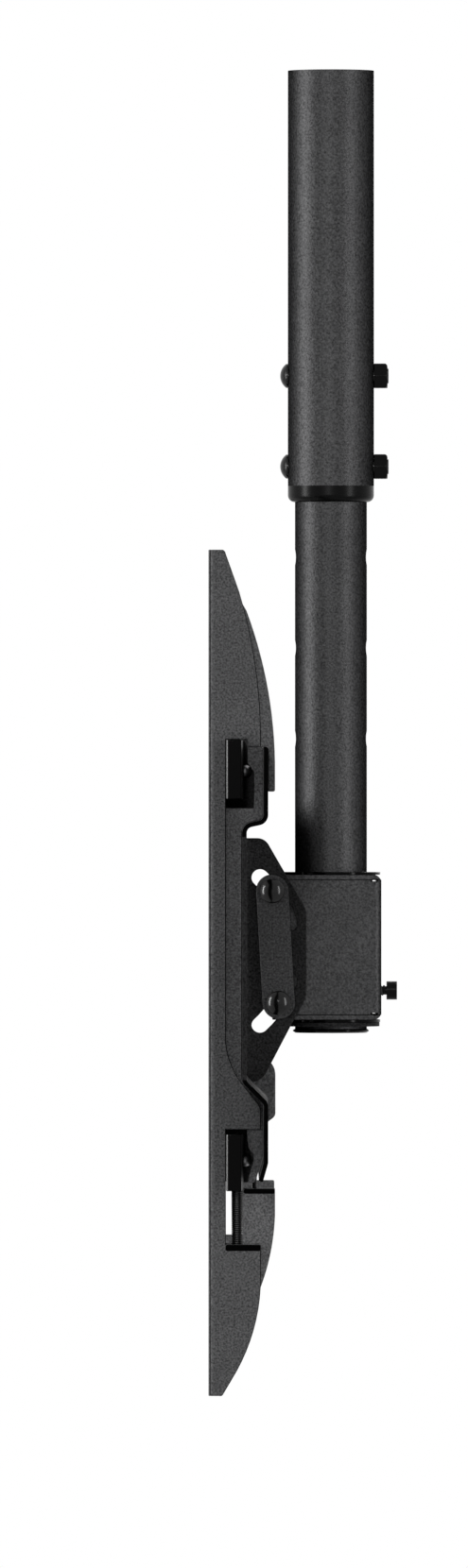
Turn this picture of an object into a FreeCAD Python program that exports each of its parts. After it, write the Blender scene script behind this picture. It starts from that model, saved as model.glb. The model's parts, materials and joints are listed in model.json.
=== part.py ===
import FreeCAD, Part
import math
import os

# Ceiling mount for a flat screen: a bolted telescopic column, a swivel housing on its foot,
# a tilting cross plate that rides on two bolts in arc slots, and two hanging arms for the screen.
# Millimetres. +Z is up, the screen hangs on the -X side, Y runs along the cross plate.
# The origin is the centre of the column's upper end.

Vec = FreeCAD.Vector
UP = Vec(0, 0, 1)
ALONG_X = Vec(1, 0, 0)
ALONG_Y = Vec(0, 1, 0)

# column
outer_tube_radius = 22.75
outer_tube_wall = 2.0
outer_tube_length = 219.8
inner_tube_radius = 19.0
inner_tube_wall = 2.0
inner_tube_top = -7.5
inner_tube_overhang = 5.0
hole_pitch = 48.0
hole_rows = 8
last_hole_rise = 10.3
column_hole_radius = 4.25
column_bolt_radius = 4.0
bolted_rows = (3, 4)
running_gap = 0.05
sleeve_flange_height = 8.5
sleeve_depth = 5.5
sleeve_fillet = 3.6

# fasteners
dome_head_radius = 6.4
dome_head_height = 4.1
nut_across_flats = 13.0
nut_height = 7.2
small_screw_radius = 3.0
small_head_radius = 4.9
small_head_height = 5.5

# swivel housing, one folded sheet
housing_sheet = 2.5
housing_half_width = 27.0
housing_back = 26.5
upper_bolt_margin = 8.53
lower_bolt_margin = 8.99
housing_bend = 1.6
bush_flange_radius = 26.1
bush_sleeve_radius = 22.0
bush_flange_height = 1.5
bush_sleeve_depth = 6.0
retaining_ring_radius = 25.7
retaining_ring_height = 2.2
cap_rim_radius = 20.1
lock_screw_rise = 15.25

# tilt: both bolts lie on one circle about a pivot that stands free in front of the plates
tilt_pivot_drop = 466.0
bolt_tube_clearance = 3.19
slot_circle_radius = 52.75
slot_half_width = 4.5
slot_low_angle = 16.7
slot_high_angle = 47.7
upper_bolt_angle = 37.3
lower_bolt_angle = -30.8
tilt_bolt_radius = 4.0
tilt_hole_radius = 4.2
inner_washer_radius = 6.0
inner_washer_height = 1.0
outer_washer_radius = 7.5
outer_washer_height = 1.5
link_half_width = 8.5
link_thickness = 3.0
spacer_radius = 5.5

# tilting cross plate, one folded sheet with two slotted tabs
plate_sheet = 2.3
plate_half_width = 215.0
plate_web_x = -45.8
plate_lip_x = -34.7
plate_rise = 107.9
plate_edge_round = 1.8
plate_bend = 3.2
tab_bend = 1.2
tab_margin = 2.5
tab_high = 59.8
tab_low = -69.0
tab_window_low = -64.5
gusset_edge = -29.4
gusset_offset = 15.0
column_notch_half_width = 30.0

# screen arms, folded channels that hang on the cross plate
arm_rest = 100.0
arm_sheet = 2.0
arm_half_width = 18.0
arm_front = -64.6
arm_edge = -37.3
arm_head_length = 103.2
lock_window_height = 60.4
arm_foot_length = 22.4
arm_tail_length = 56.8
screen_hole_radius = 4.25
screen_hole_offsets = (50.0, 100.0, 150.0, 200.0)
screen_hole_drop = 11.5
hook_gap = 0.45
hook_leg = 3.3
wall_notch_x = -55.6
finger_left = -46.1
finger_ledge_right = -29.8
ledge_rear = 4.0

# height screws and lower locks of the arms
rod_y = -8.0
rod_radius = 3.0
rod_hole_radius = 3.3
socket_corner = 2.9
stop_pin_radius = 1.25
stop_pin_x = -40.5
block_front = -24.0
block_rear = 0.0
block_left = -55.4
block_right = -46.4
block_side_round = 1.4
block_end_round = 0.5
jaw_left = -55.2
jaw_right = -40.7
jaw_thickness = 3.0
jaw_screw_radius = 2.0
jaw_head_radius = 3.6
upper_rod_x = -51.1
lower_rod_x = -49.6
jaw_screw_x = -45.5
upper_jaw_screw_drop = 13.0
lower_jaw_screw_drop = 108.6

# levels that follow from these
tilt_pivot_z = -tilt_pivot_drop
upper_bolt_rise = slot_circle_radius * math.sin(math.radians(upper_bolt_angle))
lower_bolt_rise = slot_circle_radius * math.sin(math.radians(lower_bolt_angle))
housing_top = tilt_pivot_z + upper_bolt_rise + upper_bolt_margin
housing_bottom = tilt_pivot_z + lower_bolt_rise - lower_bolt_margin
housing_height = housing_top - housing_bottom
inner_tube_bottom = housing_bottom - inner_tube_overhang
lock_screw_height = housing_bottom + lock_screw_rise
ring_top = housing_bottom - bush_flange_height
plate_top = tilt_pivot_z + plate_rise
arm_top = plate_top + arm_head_length
lock_window_top = tilt_pivot_z - 92.2
lock_window_bottom = lock_window_top - lock_window_height
arm_tail = lock_window_bottom - arm_foot_length
arm_bottom = arm_tail - arm_tail_length
arm_middle = tilt_pivot_z - screen_hole_drop
upper_jaw_screw = Vec(jaw_screw_x, 0, plate_top - upper_jaw_screw_drop)
lower_jaw_screw = Vec(jaw_screw_x, 0, tilt_pivot_z - lower_jaw_screw_drop)

# places in X and across the housing that follow from these
lower_bolt_x = -(inner_tube_radius + bolt_tube_clearance + spacer_radius)
tilt_pivot_x = lower_bolt_x - slot_circle_radius * math.cos(math.radians(lower_bolt_angle))
tab_depth_x = tilt_pivot_x + slot_circle_radius + slot_half_width + tab_margin
tab_inner = housing_half_width + inner_washer_height
tab_outer = tab_inner + plate_sheet
head_seat = tab_outer + outer_washer_height + link_thickness


def save(name, shape):
    shape.exportStep("parts/" + name + ".step")


def rod(radius, start, direction, length):
    return Part.makeCylinder(radius, length, start, direction)


def block(x0, x1, y0, y1, z0, z1):
    return Part.makeBox(x1 - x0, y1 - y0, z1 - z0, Vec(x0, y0, z0))


def tube(outer, inner, start, direction, length):
    return rod(outer, start, direction, length).cut(rod(inner, start, direction, length))


def turned(profile):
    # profile is a list of (radius, height) pairs, turned about the column's axis
    points = [Vec(r, 0, z) for r, z in profile]
    face = Part.Face(Part.makePolygon(points + [points[0]]))
    return face.revolve(Vec(0, 0, 0), UP, 360)


def outline(points, radii):
    # closed outline in the XZ plane whose corners are rounded with the given radii
    edges = []
    count = len(points)
    corners = []
    for i in range(count):
        before = Vec(*points[i - 1])
        here = Vec(*points[i])
        after = Vec(*points[(i + 1) % count])
        arrive = (before - here).normalize()
        leave = (after - here).normalize()
        angle = arrive.getAngle(leave)
        if radii[i] <= 0 or angle > math.pi - 1e-3:
            corners.append((here, None, here))
            continue
        reach = radii[i] / math.tan(angle / 2)
        bisector = (arrive + leave).normalize()
        centre = here + bisector * (radii[i] / math.sin(angle / 2))
        middle = centre - bisector * radii[i]
        corners.append((here + arrive * reach, middle, here + leave * reach))
    for i in range(count):
        first, middle, last = corners[i]
        if middle is not None:
            edges.append(Part.Arc(first, middle, last).toShape())
        following = corners[(i + 1) % count][0]
        if (following - last).Length > 1e-6:
            edges.append(Part.makeLine(last, following))
    return Part.Face(Part.Wire(edges))


def corner_list(entries):
    # splits (x, z, radius) entries into points of the XZ plane and their corner radii
    return [(e[0], 0, e[1]) for e in entries], [e[2] if len(e) > 2 else 0 for e in entries]


def profile_plate(entries, y0, y1):
    points, radii = corner_list(entries)
    face = outline(points, radii)
    face.translate(Vec(0, y0, 0))
    return face.extrude(Vec(0, y1 - y0, 0))


def plan_plate(entries, z0, z1):
    points = [(e[0], e[1], 0) for e in entries]
    face = outline(points, [e[2] if len(e) > 2 else 0 for e in entries])
    face.translate(Vec(0, 0, z0))
    return face.extrude(Vec(0, 0, z1 - z0))


def curved_plate(moves, y0, y1):
    # a move is (x, z) for a straight edge or (x, z, x, z) for an arc through the first point
    start = Vec(moves[0][0], y0, moves[0][1])
    here = start
    edges = []
    for move in moves[1:]:
        end = Vec(move[-2], y0, move[-1])
        if len(move) == 4:
            edges.append(Part.Arc(here, Vec(move[0], y0, move[1]), end).toShape())
        else:
            edges.append(Part.makeLine(here, end))
        here = end
    edges.append(Part.makeLine(here, start))
    return Part.Face(Part.Wire(edges)).extrude(Vec(0, y1 - y0, 0))


def folded(path, sheet, inner_bend):
    # outline of a folded sheet: corners of the middle line in order, bent with one inner radius
    bend = inner_bend + sheet / 2
    sides = {1: [], -1: []}
    for side in (1, -1):
        half = side * sheet / 2
        here = None
        for i in range(len(path)):
            point = Vec(*path[i])
            if i == 0:
                ahead = (Vec(*path[1]) - point).normalize()
                here = point + ahead.cross(Vec(0, 1, 0)) * half
                continue
            behind = (point - Vec(*path[i - 1])).normalize()
            across = behind.cross(Vec(0, 1, 0))
            if i == len(path) - 1:
                sides[side].append(("line", here, point + across * half))
                continue
            ahead = (Vec(*path[i + 1]) - point).normalize()
            turn = behind.getAngle(ahead)
            reach = bend * math.tan(turn / 2)
            first = point - behind * reach
            last = point + ahead * reach
            inward = (ahead - behind).normalize()
            centre = point + inward * (bend / math.cos(turn / 2))
            start = first + across * half
            end = last + ahead.cross(Vec(0, 1, 0)) * half
            radius = (start - centre).Length
            sides[side].append(("line", here, start))
            sides[side].append(("arc", start, centre - inward * radius, end))
            here = end
    edges = []
    for side in (1, -1):
        for piece in sides[side]:
            if piece[0] == "line":
                edges.append(Part.makeLine(piece[1], piece[2]))
            else:
                edges.append(Part.Arc(piece[1], piece[2], piece[3]).toShape())
    edges.append(Part.makeLine(sides[1][0][1], sides[-1][0][1]))
    edges.append(Part.makeLine(sides[1][-1][2], sides[-1][-1][2]))
    return Part.Face(Part.Wire(Part.sortEdges(edges)[0]))


def folded_strip(path, sheet, inner_bend, y0, y1):
    face = folded([(x, 0, z) for x, z in path], sheet, inner_bend)
    face.translate(Vec(0, y0, 0))
    return face.extrude(Vec(0, y1 - y0, 0))


def domed_head(seat, direction, radius, height):
    # a button head: a low cylinder under a spherical cap
    rim = height * 0.22
    cap = height - rim
    ball = (radius * radius + cap * cap) / (2 * cap)
    base = rod(radius, seat, direction, rim + cap)
    sphere = Part.makeSphere(ball, seat + direction * (height - ball))
    return base.common(sphere)


def hex_nut(seat, direction, across, height, bore):
    # flats face up and down
    corner = across / math.sqrt(3)
    side = direction.cross(UP)
    points = []
    for k in range(6):
        angle = math.radians(60 * k)
        points.append(seat + side * (corner * math.cos(angle)) + UP * (corner * math.sin(angle)))
    body = Part.Face(Part.makePolygon(points + [points[0]])).extrude(direction * height)
    chamfer = Part.makeCone(corner + height * 0.9, across / 2 - 0.15, height + 0.9, seat - direction * 0.9,
                            direction)
    body = body.common(chamfer)
    return body.cut(rod(bore, seat - direction, direction, height + 2))


def slot_point(angle, radius=slot_circle_radius):
    turn = math.radians(angle)
    return Vec(tilt_pivot_x + radius * math.cos(turn), 0, tilt_pivot_z + radius * math.sin(turn))


def arc_slot(low, high, y0, y1):
    inner = slot_circle_radius - slot_half_width
    outer = slot_circle_radius + slot_half_width
    middle = (low + high) / 2
    ends = {}
    for angle in (low, high):
        ends[angle] = (slot_point(angle, inner), slot_point(angle, outer))
    past = math.degrees(slot_half_width / slot_circle_radius)
    edges = [
        Part.Arc(ends[low][0], slot_point(middle, inner), ends[high][0]).toShape(),
        Part.Arc(ends[high][0], slot_point(high + past), ends[high][1]).toShape(),
        Part.Arc(ends[high][1], slot_point(middle, outer), ends[low][1]).toShape(),
        Part.Arc(ends[low][1], slot_point(low - past), ends[low][0]).toShape(),
    ]
    face = Part.Face(Part.Wire(edges))
    face.translate(Vec(0, y0, 0))
    return face.extrude(Vec(0, y1 - y0, 0))


def row_height(row):
    return last_hole_rise - outer_tube_length + hole_pitch * (bolted_rows[-1] - row)


def cross_hole(row, radius, reach):
    return rod(radius, Vec(-reach, 0, row_height(row)), ALONG_X, 2 * reach)


def mirrored(shape):
    return shape.mirror(Vec(0, 0, 0), ALONG_Y)


upper_bolt = slot_point(upper_bolt_angle)
lower_bolt = slot_point(lower_bolt_angle)
tilt_bolts = (upper_bolt, lower_bolt)


def make_outer_tube():
    body = tube(outer_tube_radius, outer_tube_radius - outer_tube_wall, Vec(0, 0, -outer_tube_length), UP,
                outer_tube_length)
    for row in bolted_rows:
        body = body.cut(cross_hole(row, column_hole_radius, 30))
    return body


def make_tube_sleeve():
    # plastic guide: a liner inside the outer tube and a rounded collar under its end
    liner = outer_tube_radius - outer_tube_wall
    bore = inner_tube_radius + running_gap
    top = -outer_tube_length
    collar = rod(outer_tube_radius, Vec(0, 0, top - sleeve_flange_height), UP, sleeve_flange_height)
    rim = [e for e in collar.Edges if abs(e.BoundBox.ZMax - (top - sleeve_flange_height)) < 1e-6
           and abs(e.BoundBox.ZLength) < 1e-6]
    collar = collar.makeFillet(sleeve_fillet, rim)
    body = collar.fuse(rod(liner, Vec(0, 0, top - 1), UP, 1 + sleeve_depth))
    body = body.cut(rod(bore, Vec(0, 0, top - 20), UP, 60))
    for row in bolted_rows:
        body = body.cut(cross_hole(row, column_hole_radius, 30))
    return body.removeSplitter()


def make_column_bolts():
    shapes = []
    shank_length = 2 * outer_tube_radius + nut_height
    for row in bolted_rows:
        seat = Vec(-outer_tube_radius, 0, row_height(row))
        shank = rod(column_bolt_radius, seat + ALONG_X * 0.5, ALONG_X, shank_length)
        head = domed_head(seat, Vec(-1, 0, 0), dome_head_radius, dome_head_height)
        neck = rod(column_bolt_radius, seat, ALONG_X, 0.5)
        shapes.append(head.fuse(neck).fuse(shank).removeSplitter())
    return Part.makeCompound(shapes)


def make_column_nuts():
    shapes = []
    for row in bolted_rows:
        seat = Vec(outer_tube_radius, 0, row_height(row))
        shapes.append(hex_nut(seat, ALONG_X, nut_across_flats, nut_height, column_bolt_radius))
    return Part.makeCompound(shapes)


def make_inner_tube():
    body = tube(inner_tube_radius, inner_tube_radius - inner_tube_wall, Vec(0, 0, inner_tube_bottom), UP,
                inner_tube_top - inner_tube_bottom)
    for row in range(hole_rows):
        body = body.cut(cross_hole(row, column_hole_radius, 30))
    return body


def make_retaining_ring():
    # steel ring welded round the inner tube; the swivel housing rests on it
    body = tube(retaining_ring_radius, inner_tube_radius, Vec(0, 0, ring_top - retaining_ring_height), UP,
                retaining_ring_height)
    return body


def make_end_cap():
    plug = inner_tube_radius - inner_tube_wall
    low = inner_tube_bottom
    profile = [(0, low + 9), (plug - 2.5, low + 9), (plug, low + 7), (plug, low), (cap_rim_radius - 1.1, low),
               (cap_rim_radius, low - 0.7), (cap_rim_radius, low - 1.3), (cap_rim_radius - 1.2, low - 2.1),
               (0, low - 2.4)]
    return turned(profile)


def make_swivel_housing():
    sheet = housing_sheet
    half = sheet / 2
    corner = housing_back - half
    wall_top = housing_top - sheet
    wall_bottom = housing_bottom + sheet
    seam = 0.15
    relief = 1.1
    bend_reach = housing_bend + sheet
    plan = [(-45.0, -(housing_half_width - half)), (corner, -(housing_half_width - half)),
            (corner, housing_half_width - half), (-45.0, housing_half_width - half)]
    walls = folded([(x, 0, y) for x, y in plan], sheet, housing_bend)
    walls.rotate(Vec(0, 0, 0), ALONG_X, 90)
    walls.translate(Vec(0, 0, wall_bottom + seam))
    walls = walls.extrude(Vec(0, 0, wall_top - wall_bottom - 2 * seam))
    # the front edges of the side walls clear the cross plate through the whole tilt
    front = [(-31.5, housing_top + 5, 0), (-31.5, wall_top, 0), (-37.0, wall_top - 4.0, 5.0),
             (-34.6, wall_bottom + 4.0, 5.0), (-31.0, wall_bottom, 0), (-31.0, housing_bottom - 5, 0),
             (40, housing_bottom - 5, 0), (40, housing_top + 5, 0)]
    walls = walls.common(profile_plate(front, -40, 40))
    flap_half = housing_half_width - bend_reach
    spine_path = [(-25.0, housing_top - half), (corner, housing_top - half), (corner, housing_bottom + half),
                  (-25.0, housing_bottom + half)]
    body = walls.fuse(folded_strip(spine_path, sheet, housing_bend, -flap_half, flap_half))
    flap_back = housing_back - bend_reach
    flap_plan = [(-31.0, -housing_half_width, 4), (flap_back, -housing_half_width, 0),
                 (flap_back, housing_half_width, 0), (-31.0, housing_half_width, 4)]
    for low in (wall_top, housing_bottom):
        body = body.fuse(plan_plate(flap_plan, low, low + sheet))
    # relief slits at the ends of the two flaps' bends
    for side in (-1, 1):
        y0, y1 = sorted((side * (flap_half - 0.2), side * 30))
        for low, high in ((wall_top - relief, wall_top + 0.01), (wall_bottom - 0.01, wall_bottom + relief)):
            body = body.cut(block(flap_back - 1.5, flap_back + 2.4, y0, y1, low, high))
    bush_bore = bush_sleeve_radius + running_gap
    body = body.cut(rod(bush_bore, Vec(0, 0, housing_bottom - 5), UP, housing_height + 10))
    for bolt in tilt_bolts:
        body = body.cut(rod(tilt_hole_radius, Vec(bolt.x, -40, bolt.z), ALONG_Y, 80))
    body = body.cut(rod(small_screw_radius + 0.2, Vec(20, 0, lock_screw_height), ALONG_X, 10))
    return body.removeSplitter()


def make_bush(top_side):
    bore = inner_tube_radius + running_gap
    flange_low = housing_top if top_side else ring_top
    sleeve_low = housing_top - bush_sleeve_depth if top_side else housing_bottom
    flange = rod(bush_flange_radius, Vec(0, 0, flange_low), UP, bush_flange_height)
    sleeve = rod(bush_sleeve_radius, Vec(0, 0, sleeve_low), UP, bush_sleeve_depth)
    body = flange.fuse(sleeve).cut(rod(bore, Vec(0, 0, ring_top - 10), UP, housing_height + 30))
    return body.removeSplitter()


def make_lock_screw():
    tip = inner_tube_radius + 0.3
    neck_end = housing_back + 2.9
    shank = rod(small_screw_radius, Vec(tip, 0, lock_screw_height), ALONG_X, neck_end - tip)
    head = rod(small_head_radius, Vec(neck_end, 0, lock_screw_height), ALONG_X, small_head_height)
    end = neck_end + small_head_height
    socket = hex_nut(Vec(end - 3.0, 0, lock_screw_height), ALONG_X, 5.0, 3.2, 0.01)
    prism = socket.fuse(rod(1.0, Vec(end - 3.0, 0, lock_screw_height), ALONG_X, 3.2))
    body = shank.fuse(head).cut(prism)
    return body.removeSplitter()


def make_lock_weld_nut():
    seat = Vec(housing_back - housing_sheet, 0, lock_screw_height)
    return hex_nut(seat, Vec(-1, 0, 0), 9.0, 3.4, small_screw_radius + running_gap)


def make_tilt_bolts():
    shapes = []
    for bolt in tilt_bolts:
        seat = Vec(bolt.x, -head_seat, bolt.z)
        shank = rod(tilt_bolt_radius, seat - ALONG_Y * 1.0, ALONG_Y, 2 * head_seat + nut_height + 1.8)
        head = domed_head(seat, Vec(0, -1, 0), dome_head_radius, dome_head_height)
        shapes.append(head.fuse(shank).removeSplitter())
    return Part.makeCompound(shapes)


def make_tilt_nuts():
    return Part.makeCompound([
        hex_nut(Vec(bolt.x, head_seat, bolt.z), ALONG_Y, nut_across_flats, nut_height, tilt_bolt_radius)
        for bolt in tilt_bolts])


def make_tilt_spacers():
    # tubes between the side walls, so that the bolts can be tightened on the stack
    reach = housing_half_width - housing_sheet
    shapes = []
    for bolt in tilt_bolts:
        shapes.append(tube(spacer_radius, tilt_hole_radius, Vec(bolt.x, -reach, bolt.z), ALONG_Y, 2 * reach))
    return Part.makeCompound(shapes)


def make_washers(radius, near, height):
    shapes = []
    for side in (-1, 1):
        for bolt in tilt_bolts:
            start = Vec(bolt.x, side * near, bolt.z)
            shapes.append(tube(radius, tilt_hole_radius, start, ALONG_Y * side, height))
    return Part.makeCompound(shapes)


def make_link_bar(side):
    y0, y1 = sorted((side * (tab_outer + outer_washer_height), side * head_seat))
    along = Vec(lower_bolt.x - upper_bolt.x, 0, lower_bolt.z - upper_bolt.z).normalize()
    across = Vec(-along.z, 0, along.x) * link_half_width
    a = Vec(upper_bolt.x, y0, upper_bolt.z)
    b = Vec(lower_bolt.x, y0, lower_bolt.z)
    edges = [
        Part.makeLine(a + across, b + across),
        Part.Arc(b + across, b + along * link_half_width, b - across).toShape(),
        Part.makeLine(b - across, a - across),
        Part.Arc(a - across, a - along * link_half_width, a + across).toShape(),
    ]
    body = Part.Face(Part.Wire(edges)).extrude(Vec(0, y1 - y0, 0))
    for bolt in tilt_bolts:
        body = body.cut(rod(tilt_hole_radius, Vec(bolt.x, -60, bolt.z), ALONG_Y, 120))
    return body


def make_tilt_plate():
    level = tilt_pivot_z
    path = [(plate_lip_x, plate_top), (plate_lip_x, level + 69.0), (plate_web_x, level + 66.6),
            (plate_web_x, level - 66.0), (plate_lip_x, level - 77.1), (plate_lip_x, level - 108.0),
            (plate_lip_x - 2.7, level - 117.6)]
    body = folded_strip(path, plate_sheet, plate_bend, -plate_half_width, plate_half_width)
    body = round_upper_edge(body)
    for side in (-1, 1):
        body = body.cut(tab_window(side))
    body = body.fuse(slotted_tabs())
    slots = arc_slot(slot_low_angle, slot_high_angle, -60, 60).fuse(
        arc_slot(-slot_high_angle, -slot_low_angle, -60, 60))
    body = body.cut(slots.common(block(plate_web_x + 2, 40, -60, 60, level - 100, level + 100)))
    # notch in the upper lip, where the tilted plate passes the column
    body = body.cut(block(plate_lip_x - 5, plate_lip_x + 5, -column_notch_half_width, column_notch_half_width,
                          level + 75.5, plate_top + 10))
    for side in (-1, 1):
        body = body.fuse(gusset(side))
    return body.removeSplitter()


def round_upper_edge(body):
    # the lip's rear upper edge, over which the arms' hooks hang
    rear = plate_lip_x + plate_sheet / 2
    upper_edge = []
    for edge in body.Edges:
        box = edge.BoundBox
        if abs(box.ZMin - plate_top) < 1e-6 and abs(box.XMin - rear) < 1e-6:
            upper_edge.append(edge)
    return body.makeFillet(plate_edge_round, upper_edge)


def tab_window(side):
    # each slotted tab is cut out of the web and folded back, which leaves a window beside it
    window_width = tab_depth_x - plate_web_x + plate_sheet / 2
    y0, y1 = sorted((side * (tab_inner - 3.5), side * (tab_outer + window_width)))
    return block(-60, -40, y0, y1, tilt_pivot_z + tab_window_low, tilt_pivot_z + tab_high + 0.6)


def slotted_tabs():
    web_front = plate_web_x - plate_sheet / 2
    top = tilt_pivot_z + tab_high
    bottom = tilt_pivot_z + tab_low
    shape = [(web_front - 5, top, 0), (-34.9, top, 7), (tab_depth_x, tilt_pivot_z + 22.3, 9),
             (tab_depth_x, tilt_pivot_z - 23.6, 12), (-36.9, bottom, 10), (web_front - 5, bottom, 0)]
    middle = tab_outer - plate_sheet / 2
    plan = [(20.0, -middle), (plate_web_x, -middle), (plate_web_x, middle), (20.0, middle)]
    channel = folded([(x, 0, y) for x, y in plan], plate_sheet, tab_bend)
    channel.rotate(Vec(0, 0, 0), ALONG_X, 90)
    channel.translate(Vec(0, 0, bottom - 5))
    channel = channel.extrude(Vec(0, 0, top - bottom + 10))
    channel = channel.common(profile_plate(shape, -60, 60))
    channel = channel.cut(block(-60, -46, -60, 60, bottom - 8, tilt_pivot_z + tab_window_low))
    return channel.cut(block(-60, -40, -20, 20, bottom - 8, top + 8))


def gusset(side):
    # rib that stiffens the step between the web and the lower lip
    level = tilt_pivot_z
    web = plate_web_x + 0.5
    lip = plate_lip_x + 0.5
    shape = [(web, level - 55.0, 0), (gusset_edge, level - 57.6, 9), (gusset_edge, level - 87.0, 3.5),
             (plate_lip_x + 1.4, level - 90.0, 0.8), (lip, level - 90.0, 0), (lip, level - 79.5, 0),
             (web, level - 68.0, 0)]
    return profile_plate(shape, *sorted((side * gusset_offset, side * (gusset_offset + plate_sheet))))


def arm_head_curve():
    return [(arm_front - 1, arm_top), (-57.3, arm_top), (-56.2, arm_top - 0.7, -55.6, arm_top - 2.0),
            (-48.5, arm_top - 22.0)]


def arm_tail_curve():
    middle = (arm_tail + arm_bottom) / 2
    return [(arm_edge - 5.3, middle + 0.8, -52.8, arm_bottom + 7.9), (-56.9, arm_bottom + 0.9),
            (-57.7, arm_bottom + 0.1, -58.9, arm_bottom), (arm_front - 1, arm_bottom)]


def outer_wall_outline():
    # smooth wall with a long notch for the height block and a window for the lower lock
    level = tilt_pivot_z
    edge = arm_edge
    head = [(-40.9, plate_top + 48.3, edge, plate_top + 6.1), (edge, plate_top + 0.2),
            (-44.0, plate_top + 0.2), (-44.0, plate_top + 4.1), (wall_notch_x, plate_top + 4.1)]
    waist = [(wall_notch_x, level - 46.4), (-53.0, level - 57.8, -47.2, level - 68.1), (-40.4, level - 76.8),
             (-37.9, level - 80.4, edge, level - 84.5)]
    window = [(edge, lock_window_top), (wall_notch_x, lock_window_top), (wall_notch_x, lock_window_bottom),
              (edge, lock_window_bottom), (edge, arm_tail)]
    return curved_plate(arm_head_curve() + head + waist + window + arm_tail_curve(),
                        -arm_half_width - 1, -arm_half_width + 10)


def hook_wall_outline():
    # wall whose edge follows the cross plate: hook over the upper lip, upright finger below
    level = tilt_pivot_z
    web_left = plate_web_x - plate_sheet / 2
    lip_left = plate_lip_x - plate_sheet / 2 - hook_gap
    lip_right = plate_lip_x + plate_sheet / 2 + hook_gap
    leg = lip_right + hook_leg
    hook_end = plate_top - 23.4
    # the hook's inner corner repeats the round of the plate's upper edge, one gap behind it
    turn = plate_edge_round * (1 - math.sqrt(0.5))
    back = [(-46.9, arm_top - 28.1), (-44.7, plate_top + 71.3),
            (leg - 4.6, plate_top + 35.0, leg, plate_top - 14.5)]
    hook = [(leg, hook_end + 1.1), (leg - 0.3, hook_end + 0.3, leg - 1.0, hook_end), (lip_right, hook_end),
            (lip_right, plate_top - plate_edge_round),
            (lip_right - turn, plate_top - turn, lip_right - plate_edge_round, plate_top),
            (lip_left, plate_top)]
    step = [(lip_left, level + 75.4), (-37.2, level + 72.2, -40.3, level + 71.0),
            (web_left + 2.95, level + 70.1), (web_left + 0.35, level + 68.6, web_left, level + 65.7)]
    foot = [(web_left, level - 67.2), (lip_left - 0.55, level - 77.9),
            (lip_left, level - 80.0, lip_left, level - 82.0), (lip_left, level - 106.0),
            (-37.8, level - 112.0, -39.4, level - 117.6), (-40.8, level - 120.1)]
    window = [(wall_notch_x, level - 120.1), (wall_notch_x, lock_window_bottom),
              (finger_left, lock_window_bottom), (finger_left, level - 123.6), (leg, level - 123.6),
              (leg, level - 137.4), (-32.9, arm_tail + 14.5, arm_edge, arm_tail)]
    return curved_plate(arm_head_curve() + back + hook + step + foot + window + arm_tail_curve(),
                        -arm_half_width + 10, arm_half_width + 1)


def make_arm():
    # the near arm about its own middle: outer side wall at -Y, hooked inner side wall at +Y
    level = tilt_pivot_z
    middle = arm_front + arm_sheet / 2
    wall = arm_half_width - arm_sheet / 2
    plan = [(-20.0, -wall), (middle, -wall), (middle, wall), (-20.0, wall)]
    channel = folded([(x, 0, y) for x, y in plan], arm_sheet, 1.5)
    channel.rotate(Vec(0, 0, 0), ALONG_X, 90)
    channel.translate(Vec(0, 0, arm_bottom - 5))
    channel = channel.extrude(Vec(0, 0, arm_top - arm_bottom + 10))
    body = channel.common(outer_wall_outline().fuse(hook_wall_outline()))
    # ledges folded in from the outer wall hold the two vertical screws
    for right, low, high in ((-44.6, plate_top + 4.1, plate_top + 6.1),
                             (-44.6, lock_window_top - 2.2, lock_window_top),
                             (arm_edge, lock_window_bottom - 3.3, lock_window_bottom)):
        body = body.fuse(block(wall_notch_x - 0.6, right, -wall, ledge_rear, low, high))
    # ledge folded in from the top of the inner wall's upright finger
    body = body.fuse(block(-45.0, finger_ledge_right, 7.0, wall, level - 126.0, level - 123.6))
    body = body.cut(rod(rod_hole_radius, Vec(upper_rod_x, rod_y, plate_top - 12), UP, 30))
    body = body.cut(rod(rod_hole_radius, Vec(lower_rod_x, rod_y, arm_tail), UP, 100))
    for offset in screen_hole_offsets:
        for way in (-1, 1):
            start = Vec(arm_front - 5, 0, arm_middle + way * offset)
            body = body.cut(rod(screen_hole_radius, start, ALONG_X, 10))
    return body.removeSplitter()


def socket_screw(x, top, bottom, head_below):
    # vertical screw with a socket head at one end
    shank = rod(rod_radius, Vec(x, rod_y, bottom), UP, top - bottom)
    head_low = bottom - small_head_height if head_below else top
    head = rod(small_head_radius, Vec(x, rod_y, head_low), UP, small_head_height)
    face = head_low - 0.2 if head_below else head_low + small_head_height - 3.0
    points = []
    for k in range(6):
        angle = math.radians(60 * k)
        points.append(Vec(x + socket_corner * math.cos(angle), rod_y + socket_corner * math.sin(angle), face))
    socket = Part.Face(Part.makePolygon(points + [points[0]])).extrude(UP * 3.2)
    return shank.fuse(head).cut(socket).removeSplitter()


def make_upper_screw():
    return socket_screw(upper_rod_x, plate_top + 6.1, tilt_pivot_z + 85.0, False)


def make_lower_screw():
    return socket_screw(lower_rod_x, lock_window_top + 1.7, lock_window_bottom - 3.3, True)


def make_stop_pin():
    return rod(stop_pin_radius, Vec(stop_pin_x, 11.0, tilt_pivot_z - 123.6), UP, 9.0)


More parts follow.
